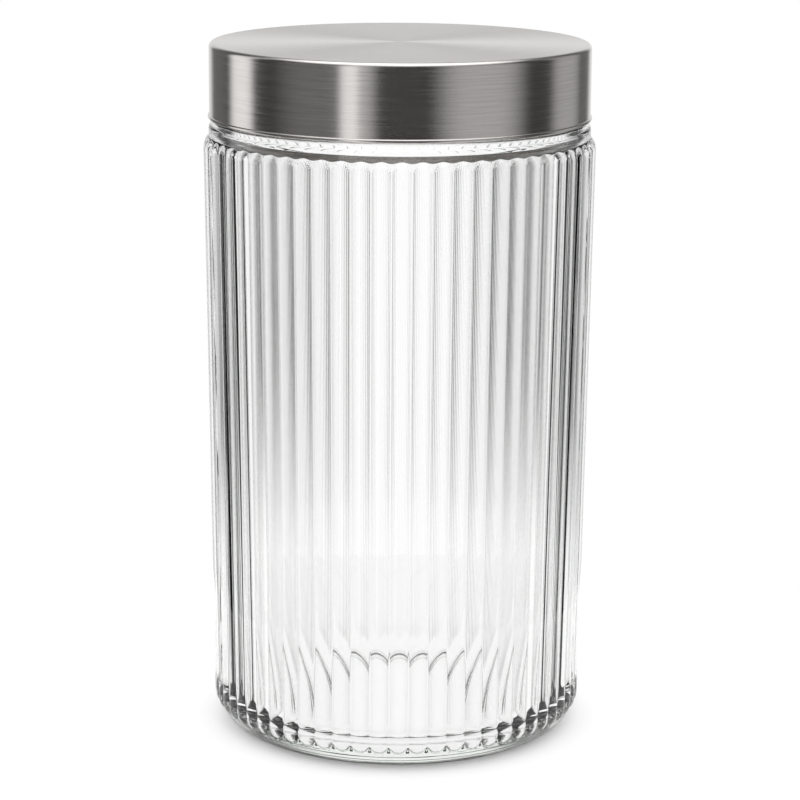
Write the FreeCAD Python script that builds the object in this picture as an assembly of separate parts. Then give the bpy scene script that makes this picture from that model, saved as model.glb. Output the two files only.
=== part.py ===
import FreeCAD, Part
import math
import os

from FreeCAD import Vector

# A ribbed glass storage jar with a brushed steel cap.
# Millimetres. +Z is up, the axis of the jar is the Z axis, and the origin is the middle of its foot.
# Every outline below is one half of a section: (radius from the axis, height, rounding of the corner).

# ---- Jar body ----
BODY_RADIUS = 56.8          # crest of the ribs at the shoulder
BODY_TAPER = 2.35           # how much smaller the ribbed body is at the foot than at the shoulder
BODY_HEIGHT = 175.2         # standing plane to the top of the shoulder
SHOULDER_DROP = 1.2         # height of the slope between the body and the collar
SHOULDER_ROUNDING = 1.2
HEEL_RADIUS = 8.0
WALL = 3.0                  # crest of a rib to the inside of the jar
BASE_THICKNESS = 6.0        # standing plane to the floor inside
INNER_HEEL_RADIUS = 8.0

# ---- Ribs ----
RIB_COUNT = 62
RIB_HEIGHT = 0.95           # groove between two ribs to their crests
RIB_TOP_DROP = 0.2          # top of the shoulder to the upper tips of the ribs
RIB_BOTTOM = 6.0            # lower tips
GROOVE_CLEARANCE = 0.1      # the turned body stays this much inside the grooves

# ---- Foot ----
FOOT_RING_WIDTH = 2.4       # flat ring that stands on the table
PUSH_UP = 2.0               # hollow under the foot, at the axis
PUSH_UP_SLOPE = 6.0         # radial width of the slope between the ring and the hollow
PUSH_UP_ROUNDING = 5.0
FOOT_RING_ROUNDING = 1.2

# ---- Neck ----
NECK_HEIGHT = 26.5          # top of the shoulder to the rim
NECK_INSET = 2.9            # crest of the ribs to the outside of the neck
NECK_WALL = 3.4
COLLAR_PROUD = 1.3          # how far the collar under the cap stands out from the neck
COLLAR_HEIGHT = 3.4         # straight face of the collar, up from the shoulder
COLLAR_SLOPE = 1.2          # height of the slope from the collar back to the neck
COLLAR_ROUNDING = 1.4
COLLAR_TOP_ROUNDING = 0.3
RIM_ROUNDING = 0.9
THROAT_TOP = 5.4            # the throat's corners, measured from the top of the shoulder
THROAT_MIDDLE = 1.6
THROAT_BASE = -2.2
THROAT_STEP = 1.1           # mouth to the middle corner of the throat
THROAT_ROUNDING = 2.0

# ---- Cap ----
CAP_SHEET = 0.8
CAP_CLEARANCE = 0.3         # neck to the inside of the cap's skirt
CAP_HEIGHT = 21.8           # top of the cap to its lower edge
CAP_EDGE_RADIUS = 1.4       # outside rounding between the top and the skirt
BEAD_PROUD = 0.42           # how far the rolled lower edge stands out from the skirt

# ---- Sizes that follow ----
FOOT_RADIUS = BODY_RADIUS - BODY_TAPER
RIM_HEIGHT = BODY_HEIGHT + NECK_HEIGHT
NECK_RADIUS = BODY_RADIUS - NECK_INSET
COLLAR_RADIUS = NECK_RADIUS + COLLAR_PROUD
MOUTH_RADIUS = NECK_RADIUS - NECK_WALL
GROOVE_DEPTH = RIB_HEIGHT + GROOVE_CLEARANCE
RIB_TOP = BODY_HEIGHT - RIB_TOP_DROP
FOOT_RING_OUTER = FOOT_RADIUS - GROOVE_DEPTH - HEEL_RADIUS
FOOT_RING_INNER = FOOT_RING_OUTER - FOOT_RING_WIDTH
CAP_INNER_RADIUS = NECK_RADIUS + CAP_CLEARANCE
CAP_RADIUS = CAP_INNER_RADIUS + CAP_SHEET
CAP_TOP = RIM_HEIGHT + CAP_SHEET
CAP_LOWER_EDGE = CAP_TOP - CAP_HEIGHT
BEAD_RADIUS = (CAP_SHEET + BEAD_PROUD) / 2


def rounded_wire(corners):
    """A closed wire through (radius, height, rounding) corners, each corner replaced by a tangent arc."""
    points = [Vector(radius, 0, height) for radius, height, _ in corners]
    starts, ends, arcs = [], [], []
    for index, (_, _, rounding) in enumerate(corners):
        corner = points[index]
        to_last = (points[index - 1] - corner).normalize()
        to_next = (points[(index + 1) % len(points)] - corner).normalize()
        if rounding == 0:
            starts.append(corner)
            ends.append(corner)
            arcs.append(None)
            continue
        half = to_last.getAngle(to_next) / 2
        reach = rounding / math.tan(half)
        inward = (to_last + to_next).normalize()
        middle = corner + inward * (rounding / math.sin(half) - rounding)
        starts.append(corner + to_last * reach)
        ends.append(corner + to_next * reach)
        arcs.append(Part.Arc(starts[-1], middle, ends[-1]).toShape())
    edges = []
    for index, arc in enumerate(arcs):
        if arc:
            edges.append(arc)
        following = starts[(index + 1) % len(starts)]
        if ends[index].distanceToPoint(following) > 1e-6:
            edges.append(Part.LineSegment(ends[index], following).toShape())
    return Part.Wire(edges)


def turned(corners):
    """The solid that the outline makes when it is turned round the axis."""
    face = Part.Face(rounded_wire(corners))
    return face.revolve(Vector(0, 0, 0), Vector(0, 0, 1), 360)


def crest_radius(height):
    """Radius of the rib crests: the body widens evenly from the foot to the shoulder."""
    return FOOT_RADIUS + BODY_TAPER * height / BODY_HEIGHT


def outside_outline():
    """The jar without its ribs or its inside: foot, heel, wall, shoulder, collar, neck and rim."""
    shoulder = BODY_HEIGHT - SHOULDER_DROP
    collar_top = BODY_HEIGHT + COLLAR_HEIGHT
    return [
        (0, PUSH_UP, 0),
        (FOOT_RING_INNER - PUSH_UP_SLOPE, PUSH_UP, PUSH_UP_ROUNDING),
        (FOOT_RING_INNER, 0, FOOT_RING_ROUNDING),
        (FOOT_RADIUS - GROOVE_DEPTH, 0, HEEL_RADIUS),
        (crest_radius(shoulder) - GROOVE_DEPTH, shoulder, SHOULDER_ROUNDING),
        (COLLAR_RADIUS, BODY_HEIGHT, SHOULDER_ROUNDING),
        (COLLAR_RADIUS, collar_top, COLLAR_ROUNDING),
        (NECK_RADIUS, collar_top + COLLAR_SLOPE, COLLAR_TOP_ROUNDING),
        (NECK_RADIUS, RIM_HEIGHT, RIM_ROUNDING),
        (0, RIM_HEIGHT, 0),
    ]


def cavity_outline():
    """The space inside: the floor, the wall that follows the body, the throat, the mouth and the rim."""
    throat_base = BODY_HEIGHT + THROAT_BASE
    rim_land = MOUTH_RADIUS + 2 * RIM_ROUNDING
    above = RIM_HEIGHT + RIM_ROUNDING
    return [
        (0, BASE_THICKNESS, 0),
        (FOOT_RADIUS - WALL, BASE_THICKNESS, INNER_HEEL_RADIUS),
        (crest_radius(throat_base) - WALL, throat_base, THROAT_ROUNDING),
        (MOUTH_RADIUS + THROAT_STEP, BODY_HEIGHT + THROAT_MIDDLE, THROAT_ROUNDING),
        (MOUTH_RADIUS, BODY_HEIGHT + THROAT_TOP, THROAT_ROUNDING),
        (MOUTH_RADIUS, RIM_HEIGHT, RIM_ROUNDING),
        (rim_land, RIM_HEIGHT, 0),
        (rim_land, above, 0),
        (0, above, 0),
    ]


def make_rib():
    """The rib at -Y: a round bar with ball ends that leans with the wall. Only its outer side shows."""
    groove = BODY_RADIUS - RIB_HEIGHT
    half_pitch = math.pi / RIB_COUNT
    half_width = groove * math.sin(half_pitch)
    drop = BODY_RADIUS - groove * math.cos(half_pitch)
    radius = (drop**2 + half_width**2) / (2 * drop)
    low, high = RIB_BOTTOM + half_width, RIB_TOP - half_width
    start = Vector(0, radius - crest_radius(low), low)
    along = Vector(0, radius - crest_radius(high), high) - start
    length, slant = along.Length, radius * math.sqrt(0.5)
    bottom, lower = Vector(0, 0, -radius), Vector(radius, 0, 0)
    upper, top = Vector(radius, 0, length), Vector(0, 0, length + radius)
    outline = Part.Wire([
        Part.Arc(bottom, Vector(slant, 0, -slant), lower).toShape(),
        Part.LineSegment(lower, upper).toShape(),
        Part.Arc(upper, Vector(slant, 0, length + slant), top).toShape(),
        Part.LineSegment(top, bottom).toShape(),
    ])
    rib = Part.Face(outline).revolve(Vector(0, 0, 0), Vector(0, 0, 1), 360)
    rib.Placement = FreeCAD.Placement(start, FreeCAD.Rotation(Vector(0, 0, 1), along))
    return rib


def make_jar():
    """The glass: the turned body with the ribs on it, hollowed out."""
    rib = make_rib()
    ribs = []
    for index in range(RIB_COUNT):
        turned_rib = rib.copy()
        turned_rib.rotate(Vector(0, 0, 0), Vector(0, 0, 1), 360 / RIB_COUNT * index)
        ribs.append(turned_rib)
    return turned(outside_outline()).multiFuse(ribs).cut(turned(cavity_outline()))


def make_cap():
    """The cap: a flat top, a rounded edge, a straight skirt and a rolled lower edge."""
    bead_height = CAP_LOWER_EDGE + BEAD_RADIUS
    shell = turned([
        (0, CAP_TOP, 0),
        (CAP_RADIUS, CAP_TOP, CAP_EDGE_RADIUS),
        (CAP_RADIUS, bead_height, 0),
        (CAP_INNER_RADIUS, bead_height, 0),
        (CAP_INNER_RADIUS, RIM_HEIGHT, CAP_EDGE_RADIUS - CAP_SHEET),
        (0, RIM_HEIGHT, 0),
    ])
    bead = Part.makeTorus(CAP_INNER_RADIUS + BEAD_RADIUS, BEAD_RADIUS, Vector(0, 0, bead_height))
    return shell.fuse(bead)


def write(node, shape):
    """Write one node as one solid."""
    solid, = shape.Solids
    assert solid.isValid(), node
    solid.exportStep(os.path.join("parts", node + ".step"))
    print(f"{node}: {solid.Volume / 1000:.1f} cm3, {len(solid.Faces)} faces")


os.makedirs("parts", exist_ok=True)
write("jar", make_jar())
write("cap", make_cap())
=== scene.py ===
"""The finished look of a ribbed glass storage jar and its brushed steel cap.

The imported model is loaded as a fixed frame. The glass and the cap are then modelled again at a
finer scale, in the same place and at the same size, and stand for the plain solids. Sizes in the
classes are millimetres, the meshes are metres, the axis of the jar is the Z axis and the jar
stands on z = 0.
"""

import logging
import math
from dataclasses import dataclass, field
from enum import Enum
from typing import NamedTuple

import bmesh
import bpy
from mathutils import Euler, Matrix, Vector


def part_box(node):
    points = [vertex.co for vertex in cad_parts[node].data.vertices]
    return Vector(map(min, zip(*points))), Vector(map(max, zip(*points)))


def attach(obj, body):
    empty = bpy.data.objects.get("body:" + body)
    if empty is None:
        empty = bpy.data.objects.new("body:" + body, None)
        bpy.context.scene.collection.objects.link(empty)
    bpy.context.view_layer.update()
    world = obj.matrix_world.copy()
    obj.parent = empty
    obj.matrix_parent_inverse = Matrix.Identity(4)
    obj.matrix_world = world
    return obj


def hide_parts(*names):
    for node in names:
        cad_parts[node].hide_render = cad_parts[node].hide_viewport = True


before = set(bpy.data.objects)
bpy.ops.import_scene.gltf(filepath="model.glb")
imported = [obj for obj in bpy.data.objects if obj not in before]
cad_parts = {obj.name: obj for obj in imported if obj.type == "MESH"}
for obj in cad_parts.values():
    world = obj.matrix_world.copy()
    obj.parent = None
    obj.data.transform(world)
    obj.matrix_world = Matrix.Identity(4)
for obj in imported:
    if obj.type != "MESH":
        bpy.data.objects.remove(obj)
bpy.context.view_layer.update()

MM = 0.001
BODY = "root"
WHITE = (1.0, 1.0, 1.0, 1.0)

log = logging.getLogger("storage_jar")


class Slot(Enum):
    """The record's material slots."""

    GLASS = "jar_glass"
    STEEL = "cap_steel"


class Ray(Enum):
    """What a ray has met on its way: nothing, a mirroring surface or clear glass."""

    DIRECT = "Is Camera Ray"
    MIRRORED = "Is Glossy Ray"
    THROUGH_GLASS = "Is Transmission Ray"


class Station(NamedTuple):
    """One height of an outline: a ring round the axis, with or without ribs standing out of it.

    Attributes:
        radius: Radius of the ring.
        height: Its height.
        ribbed: Whether ribs stand out of it.
    """

    radius: float
    height: float
    ribbed: bool = False


class Corner(NamedTuple):
    """A corner of an outline and the arc that rounds it off.

    Attributes:
        radius: Radius at which it lies.
        height: Its height.
        rounding: Radius of the arc, 0 for a sharp corner.
        steps: Number of steps along the arc.
    """

    radius: float
    height: float
    rounding: float = 0.0
    steps: int = 1


# ---- Outlines ----

LONG_RUN = 4  # a straight run is long from this many times the reach of its supports
LEAST_SLICE = 1 / 3  # a slice nearer to a station than this share of a step is left out


def arc(centre: Vector, radius: float, start: float, end: float, steps: int) -> list[Station]:
    """Points along an arc in the plane of an outline.

    Args:
        centre: Middle of the arc, as (radius, height).
        radius: Radius of the arc.
        start: First angle in radians, from the outward direction towards up.
        end: Last angle.
        steps: Number of equal steps.

    Returns:
        The points, first and last included.
    """
    angles = [start + (end - start) * step / steps for step in range(steps + 1)]
    return [
        Station(centre.x + radius * math.cos(angle), centre.y + radius * math.sin(angle))
        for angle in angles
    ]


def rounded(corners: list[Corner]) -> list[Station]:
    """An open outline through the corners, with each inner corner replaced by a tangent arc.

    Args:
        corners: The corners in order. The first and the last stay sharp.

    Returns:
        The points along the outline.
    """
    points = [Vector((corner.radius, corner.height)) for corner in corners]
    outline = [Station(*points[0])]
    for last, here, following, corner in zip(points, points[1:], points[2:], corners[1:]):
        if corner.rounding == 0:
            outline.append(Station(*here))
            continue
        to_last, to_next = (last - here).normalized(), (following - here).normalized()
        half = to_last.angle(to_next) / 2
        centre = here + (to_last + to_next).normalized() * corner.rounding / math.sin(half)
        first = here + to_last * corner.rounding / math.tan(half) - centre
        final = here + to_next * corner.rounding / math.tan(half) - centre
        start, end = math.atan2(first.y, first.x), math.atan2(final.y, final.x)
        turn = (end - start + math.pi) % (2 * math.pi) - math.pi
        outline += arc(centre, corner.rounding, start, start + turn, corner.steps)
    return outline + [Station(*points[-1])]


def with_supports(outline: list[Station], reach: float) -> list[Station]:
    """Add a station near each end of every long straight run, so that its shading stays flat.

    An end on the axis needs none.

    Args:
        outline: The stations in order.
        reach: Distance of a support from the end of its run.

    Returns:
        The outline with the supports in it.
    """
    supported = [outline[0]]
    for last, here in zip(outline, outline[1:]):
        run = math.hypot(here.radius - last.radius, here.height - last.height)
        if run > LONG_RUN * reach:
            if last.radius > 0:
                supported.append(between(last, here, reach / run))
            if here.radius > 0:
                supported.append(between(last, here, 1 - reach / run))
        supported.append(here)
    return supported


def between(first: Station, last: Station, share: float) -> Station:
    """The point at a share of the way from one station to the next.

    Args:
        first: The first station.
        last: The next one.
        share: Share of the way, 0 at the first and 1 at the last.

    Returns:
        The new station.
    """
    return Station(
        first.radius + (last.radius - first.radius) * share,
        first.height + (last.height - first.height) * share,
        first.ribbed and last.ribbed,
    )


def divided(outline: list[Station], parts: int) -> list[Station]:
    """Divide the longest run of an outline into equal parts.

    Args:
        outline: The stations in order.
        parts: How many parts the run becomes.

    Returns:
        The outline with the new stations in it.
    """
    runs = [abs(here.height - last.height) for last, here in zip(outline, outline[1:])]
    longest = runs.index(max(runs))
    first, last = outline[longest], outline[longest + 1]
    added = [between(first, last, part / parts) for part in range(1, parts)]
    return outline[:longest + 1] + added + outline[longest + 1:]


def sliced(outline: list[Station], low: float, high: float, step: float) -> list[Station]:
    """Add stations at even heights to the runs of an outline between two heights.

    Args:
        outline: The stations in order, rising.
        low: Where the slices start.
        high: Where they end.
        step: Height of a slice.

    Returns:
        The outline with the new stations in it.
    """
    heights = [low + step * index for index in range(round((high - low) / step) + 1)]
    cut = [outline[0]]
    for last, here in zip(outline, outline[1:]):
        rise = here.height - last.height
        cut += [
            between(last, here, (height - last.height) / rise)
            for height in heights
            if last.height + step * LEAST_SLICE < height < here.height - step * LEAST_SLICE
        ]
        cut.append(here)
    return cut


# ---- Modelling ----

SAME_FACTOR = 1e-9  # scale factors this close count as the same


@dataclass
class TurnedStrip:
    """A narrow strip of faces, shaped ring by ring from pole to pole and copied round the axis.

    Attributes:
        name: Name of the piece.
        columns: Angles of the strip's columns about the axis, in radians, 0 being -Y.
        copies: How many strips go round.
        merge_distance: How near two points of neighbouring copies are when they become one.
        piece: The object that is being modelled.
    """

    name: str
    columns: list[float]
    copies: int
    merge_distance: float = 0.0005
    piece: bpy.types.Object = field(init=False)

    def begin(self, station: Station) -> None:
        """Add a circle and keep the one pitch of it that becomes the strip.

        Args:
            station: The ring where the strip starts.
        """
        segments = len(self.columns) - 1
        bpy.ops.mesh.primitive_circle_add(
            vertices=segments * self.copies, radius=station.radius * MM,
            location=(0, 0, station.height * MM), fill_type="NOTHING",
        )
        bpy.ops.object.transform_apply(location=True, rotation=True, scale=True)
        self.piece = bpy.context.object
        self.piece.name = self.piece.data.name = self.name
        bpy.ops.object.mode_set(mode="EDIT")
        bpy.context.tool_settings.mesh_select_mode = (True, False, False)
        half_pitch = math.pi / self.copies
        spare = half_pitch * (1 + 0.5 / segments)  # past the last column, short of the next one
        mesh = bmesh.from_edit_mesh(self.piece.data)
        for vertex in mesh.verts:
            vertex.select = abs(self.angle(vertex)) > spare
        mesh.select_flush_mode()
        bpy.ops.mesh.delete(type="VERT")
        bpy.ops.mesh.select_all(action="SELECT")
        row = [(vertex.index, vertex.co.copy()) for vertex in self.numbered_selection()]
        for (index, place), angle in zip(row, self.columns):
            self.select_vertices({index})
            wanted = Vector((math.sin(angle), -math.cos(angle), 0)) * station.radius * MM
            bpy.ops.transform.translate(value=(wanted.x - place.x, wanted.y - place.y, 0))
        bpy.ops.mesh.select_all(action="SELECT")

    @staticmethod
    def angle(vertex: bmesh.types.BMVert) -> float:
        """Angle of a vertex about the axis, 0 being -Y."""
        return math.atan2(vertex.co.x, -vertex.co.y)

    def sorted_selection(self) -> list[bmesh.types.BMVert]:
        """The selected vertices in order of their angle."""
        mesh = bmesh.from_edit_mesh(self.piece.data)
        return sorted((vertex for vertex in mesh.verts if vertex.select), key=self.angle)

    def select_columns(self, indices: list[int]) -> None:
        """Of the selected row, keep only some columns selected.

        Args:
            indices: The columns, counted from the strip's first.
        """
        row = self.sorted_selection()
        for index, vertex in enumerate(row):
            vertex.select = index in indices
        bmesh.from_edit_mesh(self.piece.data).select_flush_mode()

    def select_vertices(self, indices: set[int]) -> None:
        """Select some vertices and nothing else.

        Args:
            indices: The indices of those vertices.
        """
        mesh = bmesh.from_edit_mesh(self.piece.data)
        mesh.verts.ensure_lookup_table()
        for vertex in mesh.verts:
            vertex.select = vertex.index in indices
        mesh.select_flush_mode()

    def extrude(self, last: list[float], radii: list[float], rise: float) -> None:
        """Extrude the selected row to the next ring and bring each column to its radius.

        Args:
            last: The columns' radii on the selected row.
            radii: Their radii on the new ring.
            rise: Height of the new ring above the selected one.
        """
        bpy.ops.mesh.extrude_region_move(TRANSFORM_OT_translate={"value": (0, 0, rise * MM)})
        factors = [new / old for new, old in zip(radii, last)]
        if max(factors) - min(factors) < SAME_FACTOR:
            self.scale(factors[0])
            return
        row = {vertex.index for vertex in self.numbered_selection()}
        for column in range((len(factors) + 1) // 2):
            self.select_vertices(row)
            self.select_columns([column, len(factors) - 1 - column])
            self.scale(factors[column])
        self.select_vertices(row)

    def numbered_selection(self) -> list[bmesh.types.BMVert]:
        """The selected vertices, with their indices brought up to date."""
        bmesh.from_edit_mesh(self.piece.data).verts.index_update()
        return self.sorted_selection()

    @staticmethod
    def scale(factor: float) -> None:
        """Scale the selection about the axis."""
        if abs(factor - 1) > SAME_FACTOR:
            bpy.ops.transform.resize(value=(factor, factor, 1), center_override=(0, 0, 0))

    def close(self) -> bpy.types.Object:
        """Copy the strip round the axis, join the copies and point the faces outwards.

        Returns:
            The finished piece, in object mode.
        """
        bpy.ops.mesh.select_all(action="SELECT")
        bpy.ops.mesh.spin(
            steps=self.copies - 1, dupli=True, angle=2 * math.pi * (self.copies - 1) / self.copies,
            center=(0, 0, 0), axis=(0, 0, 1),
        )
        bpy.ops.mesh.select_all(action="SELECT")
        bpy.ops.mesh.remove_doubles(threshold=self.merge_distance * MM)
        bpy.ops.mesh.normals_make_consistent(inside=False)
        bpy.ops.object.mode_set(mode="OBJECT")
        return self.piece


def turn_piece(strip: TurnedStrip, rings: list[tuple[float, list[float]]]) -> bpy.types.Object:
    """Model a closed piece of revolution.

    Args:
        strip: The strip that is shaped and copied.
        rings: Height and column radii of each ring, with a pole at both ends.

    Returns:
        The finished piece.
    """
    bpy.ops.object.select_all(action="DESELECT")
    height, radii = rings[1]
    strip.begin(Station(radii[0], height))
    mesh = bmesh.from_edit_mesh(strip.piece.data)
    mesh.verts.index_update()
    start = {vertex.index for vertex in mesh.verts}
    strip.extrude(radii, rings[0][1], rings[0][0] - height)
    strip.select_vertices(start)
    for (last_height, last), (height, radii) in zip(rings[1:], rings[2:]):
        strip.extrude(last, radii, height - last_height)
    return strip.close()


# ---- Colours and nodes ----


def linear(code: str) -> tuple[float, float, float, float]:
    """Turn an sRGB hex colour such as "#C9CBC6" to linear light.

    Args:
        code: The colour.

    Returns:
        Red, green, blue and an alpha of 1.
    """
    parts = [int(code[place:place + 2], 16) / 255 for place in (1, 3, 5)]
    light = [part / 12.92 if part <= 0.04045 else ((part + 0.055) / 1.055) ** 2.4 for part in parts]
    return (*light, 1.0)


def add_node(
    tree: bpy.types.NodeTree,
    kind: str,
    settings: dict[str, object] | None = None,
    inputs: dict[str | int, object] | None = None,
) -> bpy.types.Node:
    """Add a node with its settings, values and links.

    Args:
        tree: The tree it goes into.
        kind: Its type, such as "ShaderNodeMath".
        settings: Properties of the node.
        inputs: For each input, by name or number, a value or the socket that feeds it.

    Returns:
        The new node.
    """
    node = tree.nodes.new(kind)
    for name, value in (settings or {}).items():
        setattr(node, name, value)
    for name, value in (inputs or {}).items():
        if isinstance(value, bpy.types.NodeSocket):
            tree.links.new(value, node.inputs[name])
        else:
            node.inputs[name].default_value = value
    return node


def bare_material(name: str) -> bpy.types.Material:
    """Add a material with an empty node tree.

    Args:
        name: Name of the material.

    Returns:
        The material.
    """
    made = bpy.data.materials.new(name)
    made.use_nodes = True
    made.node_tree.nodes.clear()
    return made


# ---- Finishes ----


@dataclass(frozen=True)
class PressedGlass:
    """Soda-lime glass, pressed in a mould.

    Attributes:
        colour: Colour of the surface.
        absorption: Colour that the thick parts turn to.
        density_per_metre: How fast they do.
        refraction: Index of refraction of soda-lime glass.
    """

    colour: str = "#FFFFFF"
    absorption: str = "#D8E0D6"
    density_per_metre: float = 6.0
    refraction: float = 1.52

    def material(self) -> bpy.types.Material:
        """Build the glass.

        Returns:
            The material.
        """
        # Pressed in a polished mould, the skin is as smooth as water. Iron in the melt gives it a
        # faint grey-green that the eye finds only where the glass is thick, at the foot.
        made = bare_material("pressed_soda_lime_glass")
        tree = made.node_tree
        shader = add_node(tree, "ShaderNodeBsdfPrincipled", inputs={
            "Base Color": linear(self.colour),
            "Roughness": 0.0,
            "IOR": self.refraction,
            "Transmission Weight": 1.0,
        })
        inside = add_node(tree, "ShaderNodeVolumeAbsorption", inputs={
            "Color": linear(self.absorption),
            "Density": self.density_per_metre,
        })
        add_node(tree, "ShaderNodeOutputMaterial", inputs={
            "Surface": shader.outputs["BSDF"],
            "Volume": inside.outputs["Volume"],
        })
        return made


@dataclass(frozen=True)
class BrushedSteel:
    """Stainless steel sheet, brushed round the axis.

    Attributes:
        colour: Colour of the bare metal.
        roughness: Roughness of the brushed surface.
        anisotropy: How much further the scratches spread the light across them than along.
        quarter_turn: Turns the spread from along the tangent to across it.
        grain_mm: Distance from scratch to scratch. Real ones lie about 0.1 mm apart, too fine
            to show, so they are drawn coarser.
        streak_mm: Length of a streak.
        grain_detail: How many finer layers the streaks have.
        grain_low: Level of the noise that counts as its darkest.
        grain_high: Level that counts as its palest.
        tone: Brightness of the darkest and the palest streak.
        roughness_share: Roughness of those two, as shares.
    """

    colour: str = "#CFCCC9"
    roughness: float = 0.22
    anisotropy: float = 0.9
    quarter_turn: float = 0.25
    grain_mm: float = 0.35
    streak_mm: float = 18.0
    grain_detail: float = 3.0
    grain_low: float = 0.3
    grain_high: float = 0.7
    tone: tuple[float, float] = (0.9, 1.06)
    roughness_share: tuple[float, float] = (0.85, 1.2)

    def material(self) -> bpy.types.Material:
        """Build the steel.

        Returns:
            The material.
        """
        # Fine scratches run round the axis and draw every reflection out across them: upright
        # bands with soft edges and level streaks on the skirt, and a fan of light on the top.
        made = bare_material("brushed_stainless_steel")
        tree = made.node_tree
        place = add_node(tree, "ShaderNodeTexCoord")
        axes = add_node(tree, "ShaderNodeSeparateXYZ", inputs={0: place.outputs["Object"]})
        flat = add_node(tree, "ShaderNodeVectorMath", {"operation": "MULTIPLY"}, {
            0: place.outputs["Object"], 1: (1, 1, 0),
        })
        radius = add_node(tree, "ShaderNodeVectorMath", {"operation": "LENGTH"}, {
            0: flat.outputs[0],
        })
        across = add_node(tree, "ShaderNodeMath", {"operation": "SUBTRACT"}, {
            0: radius.outputs["Value"], 1: axes.outputs["Z"],
        })
        fine = add_node(tree, "ShaderNodeMath", {"operation": "MULTIPLY"}, {
            0: across.outputs[0], 1: self.streak_mm / self.grain_mm,
        })
        along = add_node(tree, "ShaderNodeCombineXYZ", inputs={
            0: axes.outputs["X"], 1: axes.outputs["Y"], 2: fine.outputs[0],
        })
        grain = add_node(tree, "ShaderNodeTexNoise", inputs={
            "Vector": along.outputs[0],
            "Scale": 1 / (self.streak_mm * MM),
            "Detail": self.grain_detail,
        })
        levels = {
            "Value": grain.outputs["Fac"],
            "From Min": self.grain_low,
            "From Max": self.grain_high,
        }
        tone = add_node(tree, "ShaderNodeMapRange", inputs={
            **levels, "To Min": self.tone[0], "To Max": self.tone[1],
        })
        tinted = add_node(tree, "ShaderNodeVectorMath", {"operation": "SCALE"}, {
            0: linear(self.colour)[:3], "Scale": tone.outputs[0],
        })
        rough = add_node(tree, "ShaderNodeMapRange", inputs={
            **levels,
            "To Min": self.roughness * self.roughness_share[0],
            "To Max": self.roughness * self.roughness_share[1],
        })
        tangent = add_node(tree, "ShaderNodeTangent", {"direction_type": "RADIAL", "axis": "Z"})
        shader = add_node(tree, "ShaderNodeBsdfPrincipled", inputs={
            "Base Color": tinted.outputs[0],
            "Metallic": 1.0,
            "Roughness": rough.outputs[0],
            "Anisotropic": self.anisotropy,
            "Anisotropic Rotation": self.quarter_turn,
            "Tangent": tangent.outputs[0],
        })
        add_node(tree, "ShaderNodeOutputMaterial", inputs={"Surface": shader.outputs["BSDF"]})
        return made


@dataclass(frozen=True)
class WhiteTable:
    """A matt white laminate table.

    Attributes:
        colour: Colour of the laminate.
        glow: Share of plain white in what is seen of it directly or mirrored.
        glow_through_glass: The same, seen through the glass.
        white: Brightness of that white.
    """

    colour: str = "#FAFAFA"
    glow: float = 0.08
    glow_through_glass: float = 0.94
    white: float = 0.97

    def material(self) -> bpy.types.Material:
        """Build the table's surface.

        Returns:
            The material.
        """
        # A fine matt coat scatters the light evenly, so that the table reads as plain white and
        # still shows the soft shadow of what stands on it.
        made = bare_material("matt_white_table")
        tree = made.node_tree
        rays = add_node(tree, "ShaderNodeLightPath")
        seen = add_node(tree, "ShaderNodeMath", {"operation": "MAXIMUM"}, {
            0: rays.outputs[Ray.DIRECT.value], 1: rays.outputs[Ray.MIRRORED.value],
        })
        direct = add_node(tree, "ShaderNodeMath", {"operation": "MULTIPLY"}, {
            0: seen.outputs[0], 1: self.glow,
        })
        through = add_node(tree, "ShaderNodeMath", {"operation": "MULTIPLY"}, {
            0: rays.outputs[Ray.THROUGH_GLASS.value], 1: self.glow_through_glass,
        })
        share = add_node(tree, "ShaderNodeMath", {"operation": "MAXIMUM"}, {
            0: direct.outputs[0], 1: through.outputs[0],
        })
        matt = add_node(tree, "ShaderNodeBsdfDiffuse", inputs={"Color": linear(self.colour)})
        white = add_node(tree, "ShaderNodeEmission", inputs={
            "Color": WHITE, "Strength": self.white,
        })
        mixed = add_node(tree, "ShaderNodeMixShader", inputs={
            "Fac": share.outputs[0], 1: matt.outputs[0], 2: white.outputs[0],
        })
        add_node(tree, "ShaderNodeOutputMaterial", inputs={"Surface": mixed.outputs[0]})
        return made


# ---- The jar ----


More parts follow.
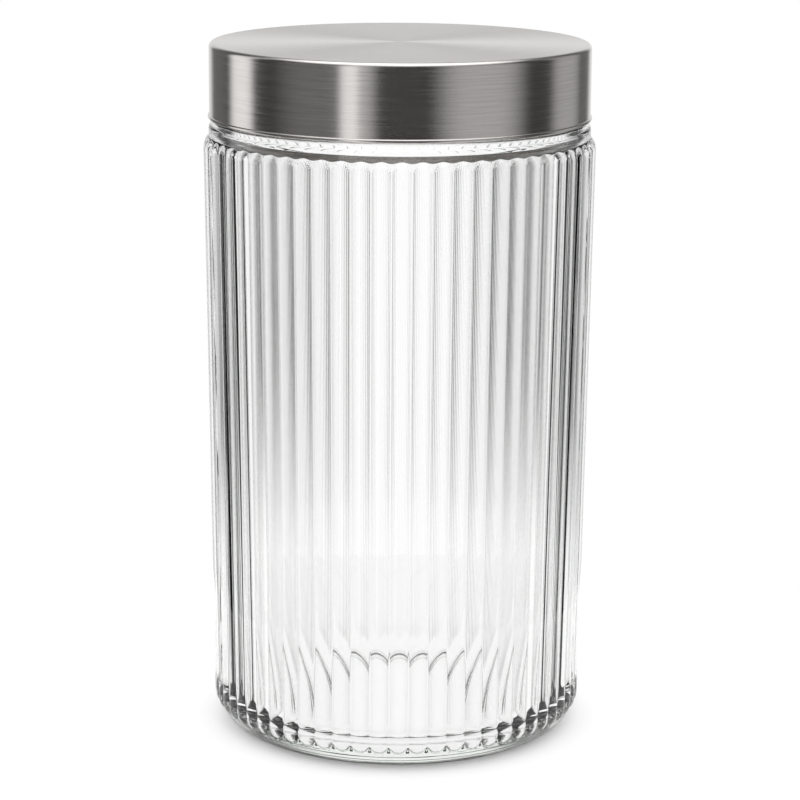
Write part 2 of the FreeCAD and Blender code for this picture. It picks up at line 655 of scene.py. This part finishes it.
@dataclass(frozen=True)
class Ribs:
    """Upright round ribs, side by side round the glass, each with a domed end above and below.

    Attributes:
        count: How many there are.
        height: From the groove between two ribs to their crests.
        outer_radius: Radius of the crests at the shoulder.
        top: Height of the upper tips.
        bottom: Height of the lower tips.
        places: The columns of half a rib, as shares of the way from its crest to the groove.
    """

    count: int = 62
    height: float = 0.95
    outer_radius: float = 56.8
    top: float = 175.0
    bottom: float = 6.0
    places: tuple[float, ...] = (0.0, 0.26, 0.5, 0.72, 0.89, 1.0)

    @property
    def half_pitch(self) -> float:
        """Angle from a crest to a groove."""
        return math.pi / self.count

    @property
    def rounding(self) -> float:
        """Radius of the round section that goes through a crest and the grooves beside it.

        Returns:
            The radius.
        """
        groove = self.outer_radius - self.height
        drop = self.outer_radius - groove * math.cos(self.half_pitch)
        return (drop**2 + (groove * math.sin(self.half_pitch))**2) / (2 * drop)

    @property
    def half_width(self) -> float:
        """From the middle of a rib to the groove."""
        return (self.outer_radius - self.height) * math.sin(self.half_pitch)

    def columns(self) -> list[float]:
        """Angles of one rib from groove to groove, closer together in the grooves."""
        right = [place * self.half_pitch for place in self.places]
        return [-angle for angle in right[:0:-1]] + right

    def past_end(self, height: float) -> float:
        """How far a height is inside one of the domes, from the middle of its ball."""
        return max(height - self.top + self.half_width, self.bottom - height + self.half_width, 0)

    def radius(self, angle: float, height: float, crest: float) -> float:
        """Radius of a rib's surface.

        Args:
            angle: Angle from the middle of the rib.
            height: Height of the place.
            crest: Radius of the crest at this height.

        Returns:
            The radius, or 0 where the rib has ended.
        """
        centre = crest - self.rounding
        left = self.rounding**2 - (centre * math.sin(angle))**2 - self.past_end(height)**2
        return centre * math.cos(angle) + math.sqrt(left) if left > 0 else 0.0


def smooth_greatest(first: float, second: float, blend: float) -> float:
    """The larger of two sizes, with a soft passage where they cross.

    Args:
        first: One size.
        second: The other.
        blend: Width of the passage.

    Returns:
        The larger size, a little more near the crossing.
    """
    near = max(blend - abs(first - second), 0) / blend
    return max(first, second) + near**2 * blend / 4


@dataclass
class Jar:
    """The glass: a ribbed body on a ring foot, a smooth collar and a neck, open inside.

    Attributes:
        rim_height: Height of the rim, from the frame.
        ribs: The ribs round the body.
        glass: What it is made of.
        body_height: From the table to the top of the shoulder.
        taper: How much smaller the radius is at the foot than at the shoulder.
        groove_floor: From the crests to the turned body between the ribs.
        wall: From the crests to the inside.
        base: From the table to the floor inside.
        heel_rounding: Radius of the rounded edge between the foot and the body.
        rib_blend: Width of the soft passage where a rib meets the body.
        ring_width: Width of the flat ring that the jar stands on.
        push_up: Height of the hollow under the foot.
        push_up_slope: Width of the slope from the ring to the hollow.
        push_up_rounding: Radius of the corner between the slope and the hollow.
        ring_rounding: Radius of the ring's inner corner.
        shoulder_drop: Height of the slope from the body to the collar.
        shoulder_rounding: Radius of the corners at both ends of that slope.
        neck_inset: From the crests at the shoulder to the outside of the neck.
        neck_wall: Thickness of the neck.
        collar_proud: How far the collar stands out from the neck.
        collar_height: Height of the collar's straight face.
        collar_slope: Height of the slope from the collar to the neck.
        collar_rounding: Radius of the collar's upper edge.
        collar_top_rounding: Radius of the corner between that slope and the neck.
        rim_rounding: Radius of both edges of the rim.
        throat_top: Where the throat starts to widen, from the top of the shoulder.
        throat_middle: Where it widens faster.
        throat_base: Where it meets the inside of the body.
        throat_step: How much wider than the mouth it is at its middle.
        throat_rounding: Radius of those three corners.
        inner_heel_rounding: Radius of the corner between the floor and the wall.
        support: Distance of a supporting ring from the end of a straight run.
        slice: Height of the slices through the ribs' upper domes.
        lower_slice: Height of the slices through their lower ends.
        upper_sliced: How far below their tips the upper slices start.
        lower_sliced: How far above their tips the lower slices end.
        past_tips: How far above the upper tips the slices end.
        heel_steps: Steps along the heel.
        inner_heel_steps: Steps along the corner between the floor and the wall.
        push_up_steps: Steps along the corner of the hollow under the foot.
        ring_steps: Steps along the ring's inner corner.
        rim_steps: Steps along an edge of the rim.
        collar_top_steps: Steps along the corner between the collar's slope and the neck.
        rounding_steps: Steps along a corner of the shoulder, collar or throat.
        wall_parts: Parts that the inner wall is divided into.
    """

    rim_height: float
    ribs: Ribs = field(default_factory=Ribs)
    glass: PressedGlass = field(default_factory=PressedGlass)
    body_height: float = 175.2
    taper: float = 2.35
    groove_floor: float = 1.05
    wall: float = 3.0
    base: float = 6.0
    heel_rounding: float = 8.0
    rib_blend: float = 0.12
    ring_width: float = 2.4
    push_up: float = 2.0
    push_up_slope: float = 6.0
    push_up_rounding: float = 5.0
    ring_rounding: float = 1.2
    shoulder_drop: float = 1.2
    shoulder_rounding: float = 1.2
    neck_inset: float = 2.9
    neck_wall: float = 3.4
    collar_proud: float = 1.3
    collar_height: float = 3.4
    collar_slope: float = 1.2
    collar_rounding: float = 1.4
    collar_top_rounding: float = 0.3
    rim_rounding: float = 0.9
    throat_top: float = 5.4
    throat_middle: float = 1.6
    throat_base: float = -2.2
    throat_step: float = 1.1
    throat_rounding: float = 2.0
    inner_heel_rounding: float = 8.0
    support: float = 0.5
    slice: float = 0.3
    lower_slice: float = 0.6
    upper_sliced: float = 3.3
    lower_sliced: float = 5.0
    past_tips: float = 0.9
    heel_steps: int = 24
    inner_heel_steps: int = 8
    push_up_steps: int = 4
    ring_steps: int = 2
    rim_steps: int = 4
    collar_top_steps: int = 3
    rounding_steps: int = 6
    wall_parts: int = 6

    def crest(self, height: float) -> float:
        """Radius of the crests at a height."""
        return self.ribs.outer_radius - self.taper * (1 - height / self.body_height)

    def outside(self) -> list[Station]:
        """From the axis under the foot, up the body between the ribs, to the collar's foot.

        Returns:
            The stations in order, with the ribbed ones marked.
        """
        floor = self.crest(0) - self.groove_floor
        shoulder = self.body_height - self.shoulder_drop
        collar = self.ribs.outer_radius - self.neck_inset + self.collar_proud
        ring_outer = floor - self.heel_rounding
        ring_inner = ring_outer - self.ring_width
        slope = [
            (self.crest(shoulder) - self.groove_floor, shoulder),
            (collar, self.body_height),
        ]
        outline = rounded([
            Corner(0, self.push_up),
            Corner(
                ring_inner - self.push_up_slope, self.push_up,
                self.push_up_rounding, self.push_up_steps,
            ),
            Corner(ring_inner, 0, self.ring_rounding, self.ring_steps),
            Corner(floor, 0, self.heel_rounding, self.heel_steps),
            *[Corner(*place, self.shoulder_rounding, self.rounding_steps) for place in slope],
            Corner(collar, self.body_height + self.collar_height / 2),
        ])
        # An arc has one station more than steps, and the last corner is one station.
        above_foot = (self.heel_steps + 1) + len(slope) * (self.rounding_steps + 1) + 1
        foot, body = outline[:-above_foot], outline[-above_foot:]
        lower_tips, upper_tips = self.ribs.bottom, self.ribs.top
        body = sliced(body, lower_tips, lower_tips + self.lower_sliced, self.lower_slice)
        body = sliced(
            body, upper_tips - self.upper_sliced, upper_tips + self.past_tips, self.slice,
        )
        return foot + [station._replace(ribbed=True) for station in body]

    def upper_outline(self, start: Station) -> list[Station]:
        """Up the collar and the neck, over the rim and down inside to the middle of the floor.

        Args:
            start: The last station of the outside.

        Returns:
            The stations in order.
        """
        neck = self.ribs.outer_radius - self.neck_inset
        mouth = neck - self.neck_wall
        collar_top = self.body_height + self.collar_height
        throat = [
            (mouth, self.body_height + self.throat_top),
            (mouth + self.throat_step, self.body_height + self.throat_middle),
        ]
        throat_base = self.body_height + self.throat_base
        throat.append((self.crest(throat_base) - self.wall, throat_base))
        return rounded([
            Corner(start.radius, start.height),
            Corner(
                neck + self.collar_proud, collar_top, self.collar_rounding, self.rounding_steps,
            ),
            Corner(
                neck, collar_top + self.collar_slope,
                self.collar_top_rounding, self.collar_top_steps,
            ),
            Corner(neck, self.rim_height, self.rim_rounding, self.rim_steps),
            Corner(mouth, self.rim_height, self.rim_rounding, self.rim_steps),
            *[Corner(*place, self.throat_rounding, self.rounding_steps) for place in throat],
            Corner(
                self.crest(0) - self.wall, self.base,
                self.inner_heel_rounding, self.inner_heel_steps,
            ),
            Corner(0, self.base),
        ])

    def rings(self) -> list[tuple[float, list[float]]]:
        """Lay the ribs over the outline.

        Returns:
            Height and column radii of every ring, from the pole under the foot to the one on the
            floor inside.
        """
        outside = self.outside()
        upper = divided(self.upper_outline(outside[-1]), self.wall_parts)
        outline = with_supports(outside + upper[1:], self.support)
        columns = self.ribs.columns()
        rings = []
        for station in outline:
            radii = [station.radius] * len(columns)
            if station.ribbed:
                crest = self.crest(station.height)
                ribs = [self.ribs.radius(angle, station.height, crest) for angle in columns]
                radii = [smooth_greatest(rib, station.radius, self.rib_blend) for rib in ribs]
            rings.append((station.height, radii))
        return rings

    def build(self) -> bpy.types.Object:
        """Model the glass and dress it.

        Returns:
            The finished piece.
        """
        strip = TurnedStrip("ribbed_glass_jar", self.ribs.columns(), self.ribs.count)
        piece = turn_piece(strip, self.rings())
        bpy.ops.object.shade_smooth()
        piece.data.materials.append(self.glass.material())
        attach(piece, BODY)
        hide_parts("jar")
        return piece


# ---- The cap ----


@dataclass
class Cap:
    """The cap: a flat top, a rounded edge, a straight skirt and a rolled lower edge.

    Attributes:
        top: Height of its top, from the frame.
        lower_edge: Height of its lower edge, from the frame.
        outer_radius: Widest radius, at the rolled edge, from the frame.
        steel: What it is made of.
        sheet: Thickness of the sheet.
        edge_rounding: Radius of the edge between the top and the skirt.
        bead_proud: How far the rolled edge stands out from the skirt.
        segments: How many faces go round.
        edge_steps: Steps along the edge between the top and the skirt.
        inner_edge_steps: Steps along its underside.
        bead_steps: Steps round the rolled edge.
        support: Distance of a supporting ring from the end of a straight run.
        sharp_degrees: Angle from which an edge is shaded as a sharp one.
    """

    top: float
    lower_edge: float
    outer_radius: float
    steel: BrushedSteel = field(default_factory=BrushedSteel)
    sheet: float = 0.8
    edge_rounding: float = 1.4
    bead_proud: float = 0.42
    segments: int = 288
    edge_steps: int = 10
    inner_edge_steps: int = 4
    bead_steps: int = 16
    support: float = 0.4
    sharp_degrees: float = 40.0

    def outline(self) -> list[Station]:
        """From the middle of the top, round the skirt, to the middle of the underside.

        Returns:
            The stations in order.
        """
        skirt = self.outer_radius - self.bead_proud
        inside = skirt - self.sheet
        bead = (self.sheet + self.bead_proud) / 2
        centre = Vector((inside + bead, self.lower_edge + bead))
        crease = math.acos((skirt - centre.x) / bead)
        rolled = arc(centre, bead, crease, -math.pi, self.bead_steps)
        outside = rounded([
            Corner(0, self.top),
            Corner(skirt, self.top, self.edge_rounding, self.edge_steps),
            Corner(rolled[0].radius, rolled[0].height),
        ])
        underside = rounded([
            Corner(rolled[-1].radius, rolled[-1].height),
            Corner(
                inside, self.top - self.sheet,
                self.edge_rounding - self.sheet, self.inner_edge_steps,
            ),
            Corner(0, self.top - self.sheet),
        ])
        return with_supports(outside + rolled[1:] + underside[1:], self.support)

    def build(self) -> bpy.types.Object:
        """Model the cap and dress it.

        Returns:
            The finished piece.
        """
        step = 2 * math.pi / self.segments
        strip = TurnedStrip("brushed_steel_cap", [-step, 0, step], self.segments // 2)
        rings = [(station.height, [station.radius] * 3) for station in self.outline()]
        piece = turn_piece(strip, rings)
        bpy.ops.object.shade_smooth_by_angle(angle=math.radians(self.sharp_degrees))
        piece.data.materials.append(self.steel.material())
        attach(piece, BODY)
        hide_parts("cap")
        return piece


# ---- The studio ----


@dataclass(frozen=True)
class Panel:
    """A field of light in the studio, seen in reflections or through the glass.

    Attributes:
        heading: Direction of its middle in degrees, 0 in front of the jar and 90 to its right.
        half_width: Half its width in degrees.
        edge: Width of its soft edge in degrees.
        brightness: Its brightness, 1 being white.
    """

    heading: float
    half_width: float
    edge: float
    brightness: float


@dataclass
class Studio:
    """A white table and backdrop in a studio, with panels of light round them and one overhead.

    Attributes:
        table: Finish of the table.
        table_radius: Its radius.
        table_segments: How many sides its edge has.
        ambient: Brightness of the room between the panels, as it is mirrored.
        ambient_through_glass: The same, as it is seen through the glass.
        low_light: Brightness of the white floor beyond the table, seen through the glass.
        low_light_start: Sine of the elevation where that floor fades in.
        low_light_full: Sine of the elevation where it is plain white.
        matt_light: Brightness of the even light that falls on matt surfaces.
        overhead: Brightness of the light overhead.
        overhead_low: Sine of the elevation where it fades in.
        overhead_high: Sine of the elevation where it is full.
        fall_start: Sine of the elevation above which the mirrored panels grow dimmer.
        fall_end: Sine of the elevation where they are at their dimmest.
        fall_to: Their brightness there, as a share.
        reflected: The panels that the steel and the glass surface mirror.
        refracted: Seen through the glass: the backdrop, the front of the studio and its sides.
        light_bounces: How often a ray may pass the many faces of the ribbed glass.
    """

    table: WhiteTable = field(default_factory=WhiteTable)
    table_radius: float = 170.0
    table_segments: int = 128
    ambient: float = 0.03
    ambient_through_glass: float = 0.09
    low_light: float = 1.03
    low_light_start: float = -0.2
    low_light_full: float = -0.3
    matt_light: float = 1.5
    overhead: float = 2.1
    overhead_low: float = 0.66
    overhead_high: float = 0.9
    fall_start: float = 0.26
    fall_end: float = 0.5
    fall_to: float = 0.5
    reflected: tuple[Panel, ...] = (
        Panel(180, 22, 8, 0.78),
        Panel(-111, 10, 5, 1.15),
        Panel(-31, 5, 2, 0.65),
        Panel(-26, 6, 8, 0.45),
        Panel(-48, 22, 15, 0.14),
        Panel(50, 19, 16, 0.5),
        Panel(118, 12, 8, 0.45),
        Panel(150, 14, 10, 0.12),
        Panel(-145, 14, 10, 0.12),
    )
    refracted: tuple[Panel, ...] = (
        Panel(180, 26, 8, 0.97),
        Panel(0, 35, 8, 0.97),
        Panel(-111, 12, 8, 0.9),
        Panel(111, 12, 8, 0.9),
    )
    light_bounces: int = 24

    def build_table(self) -> bpy.types.Object:
        """Add the table.

        Returns:
            The table.
        """
        bpy.ops.object.select_all(action="DESELECT")
        bpy.ops.mesh.primitive_circle_add(
            vertices=self.table_segments, radius=self.table_radius * MM,
            location=(0, 0, 0), fill_type="NGON",
        )
        table = bpy.context.object
        table.name = "white_table"
        table.data.materials.append(self.table.material())
        return table

    @staticmethod
    def panel_light(
        tree: bpy.types.NodeTree,
        level: bpy.types.NodeSocket,
        panels: tuple[Panel, ...],
        room: float,
    ) -> bpy.types.NodeSocket:
        """Brightness of the panels and the dim room between them, by heading.

        Args:
            tree: The world's node tree.
            level: Level direction of the ray.
            panels: The panels.
            room: Brightness of the room between them.

        Returns:
            The socket that gives the brightness.
        """
        total = None
        for panel in panels:
            heading = math.radians(panel.heading)
            facing = add_node(tree, "ShaderNodeVectorMath", {"operation": "DOT_PRODUCT"}, {
                0: level, 1: (math.sin(heading), -math.cos(heading), 0),
            })
            light = add_node(tree, "ShaderNodeMapRange", {"interpolation_type": "SMOOTHSTEP"}, {
                "Value": facing.outputs["Value"],
                "From Min": math.cos(math.radians(panel.half_width + panel.edge)),
                "From Max": math.cos(math.radians(max(panel.half_width - panel.edge, 0))),
                "To Min": 0.0,
                "To Max": panel.brightness,
            })
            total = add_node(tree, "ShaderNodeMath", {"operation": "ADD"}, {
                0: total or room, 1: light.outputs["Result"],
            }).outputs[0]
        return total

    def build_surroundings(self) -> None:
        """Light the scene: even white light for matt surfaces, panels for glass and metal."""
        world = bpy.data.worlds.new("studio")
        bpy.context.scene.world = world
        world.use_nodes = True
        tree = world.node_tree
        tree.nodes.clear()
        place = add_node(tree, "ShaderNodeTexCoord")
        flat = add_node(tree, "ShaderNodeVectorMath", {"operation": "MULTIPLY"}, {
            0: place.outputs["Generated"], 1: (1, 1, 0),
        })
        level = add_node(tree, "ShaderNodeVectorMath", {"operation": "NORMALIZE"}, {
            0: flat.outputs[0],
        })
        axes = add_node(tree, "ShaderNodeSeparateXYZ", inputs={0: place.outputs["Generated"]})
        overhead, falling, low_light = (
            add_node(tree, "ShaderNodeMapRange", {"interpolation_type": "SMOOTHSTEP"}, {
                "Value": axes.outputs["Z"],
                "From Min": low,
                "From Max": high,
                "To Min": below,
                "To Max": above,
            })
            for low, high, below, above in (
                (self.overhead_low, self.overhead_high, 0.0, self.overhead),
                (self.fall_start, self.fall_end, 1.0, self.fall_to),
                (self.low_light_full, self.low_light_start, self.low_light, 0.0),
            )
        )
        around = self.panel_light(tree, level.outputs[0], self.reflected, self.ambient)
        walls = add_node(tree, "ShaderNodeMath", {"operation": "MULTIPLY"}, {
            0: around, 1: falling.outputs["Result"],
        })
        mirrored = add_node(tree, "ShaderNodeMath", {"operation": "MAXIMUM"}, {
            0: walls.outputs[0], 1: overhead.outputs["Result"],
        })
        beyond = self.panel_light(
            tree, level.outputs[0], self.refracted, self.ambient_through_glass,
        )
        through_glass = add_node(tree, "ShaderNodeMath", {"operation": "MAXIMUM"}, {
            0: beyond, 1: low_light.outputs["Result"],
        })
        rays = add_node(tree, "ShaderNodeLightPath")
        surroundings = add_node(tree, "ShaderNodeBackground", inputs={
            "Color": WHITE, "Strength": self.matt_light,
        })
        # A ray that has passed through glass may also have been mirrored, so that case comes last.
        for ray, light in (
            (Ray.DIRECT, 1.0),
            (Ray.MIRRORED, mirrored.outputs[0]),
            (Ray.THROUGH_GLASS, through_glass.outputs[0]),
        ):
            seen = add_node(tree, "ShaderNodeBackground", inputs={
                "Color": WHITE, "Strength": light,
            })
            surroundings = add_node(tree, "ShaderNodeMixShader", inputs={
                "Fac": rays.outputs[ray.value], 1: surroundings.outputs[0], 2: seen.outputs[0],
            })
        add_node(tree, "ShaderNodeOutputWorld", inputs={"Surface": surroundings.outputs[0]})

    def build(self) -> None:
        """Set up the table, the surroundings and the view settings."""
        self.build_table()
        self.build_surroundings()
        scene = bpy.context.scene
        scene.view_settings.view_transform = "Standard"
        scene.cycles.max_bounces = self.light_bounces
        scene.cycles.transmission_bounces = self.light_bounces


@dataclass(frozen=True)
class Viewpoint:
    """Where the jar is looked at from.

    Attributes:
        distance: From the axis of the jar to the camera, level.
        height: Of the camera above the table.
        heading: Turn of the viewpoint round the jar in degrees, negative to the left.
        pitch: How far the camera looks down, in degrees.
        yaw: How far it looks to the right of the axis, in degrees.
        roll: How far it leans, in degrees.
        lens: Focal length.
        sensor: Width of the sensor.
    """

    distance: float = 832.2
    height: float = 291.55
    heading: float = -0.7
    pitch: float = 13.176
    yaw: float = 0.038
    roll: float = 0.37
    lens: float = 130.09
    sensor: float = 36.0

    def build(self) -> bpy.types.Object:
        """Add the camera.

        Returns:
            The scene's camera.
        """
        data = bpy.data.cameras.new("camera")
        data.sensor_width = self.sensor
        data.lens = self.lens
        camera = bpy.data.objects.new("camera", data)
        bpy.context.scene.collection.objects.link(camera)
        round_jar = Matrix.Rotation(math.radians(self.heading), 4, "Z")
        stand = Matrix.Translation((0, -self.distance * MM, self.height * MM))
        turned = Matrix.Rotation(math.radians(-self.yaw), 4, "Z")
        tilted = Euler((math.radians(90 - self.pitch), 0, 0)).to_matrix().to_4x4()
        leaning = Matrix.Rotation(math.radians(self.roll), 4, "Z")
        camera.matrix_world = round_jar @ stand @ turned @ tilted @ leaning
        bpy.context.scene.camera = camera
        return camera


def main() -> None:
    """Build the glass, the cap, the studio and the camera."""
    logging.basicConfig(level=logging.INFO, format="%(message)s")
    jar_low, jar_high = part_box("jar")
    cap_low, cap_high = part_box("cap")
    jar = Jar(rim_height=jar_high.z / MM)
    cap = Cap(top=cap_high.z / MM, lower_edge=cap_low.z / MM, outer_radius=cap_high.x / MM)
    for piece in (jar.build(), cap.build()):
        log.info("%s: %d faces", piece.name, len(piece.data.polygons))
    Studio().build()
    Viewpoint().build()


if __name__ == "__main__":
    main()
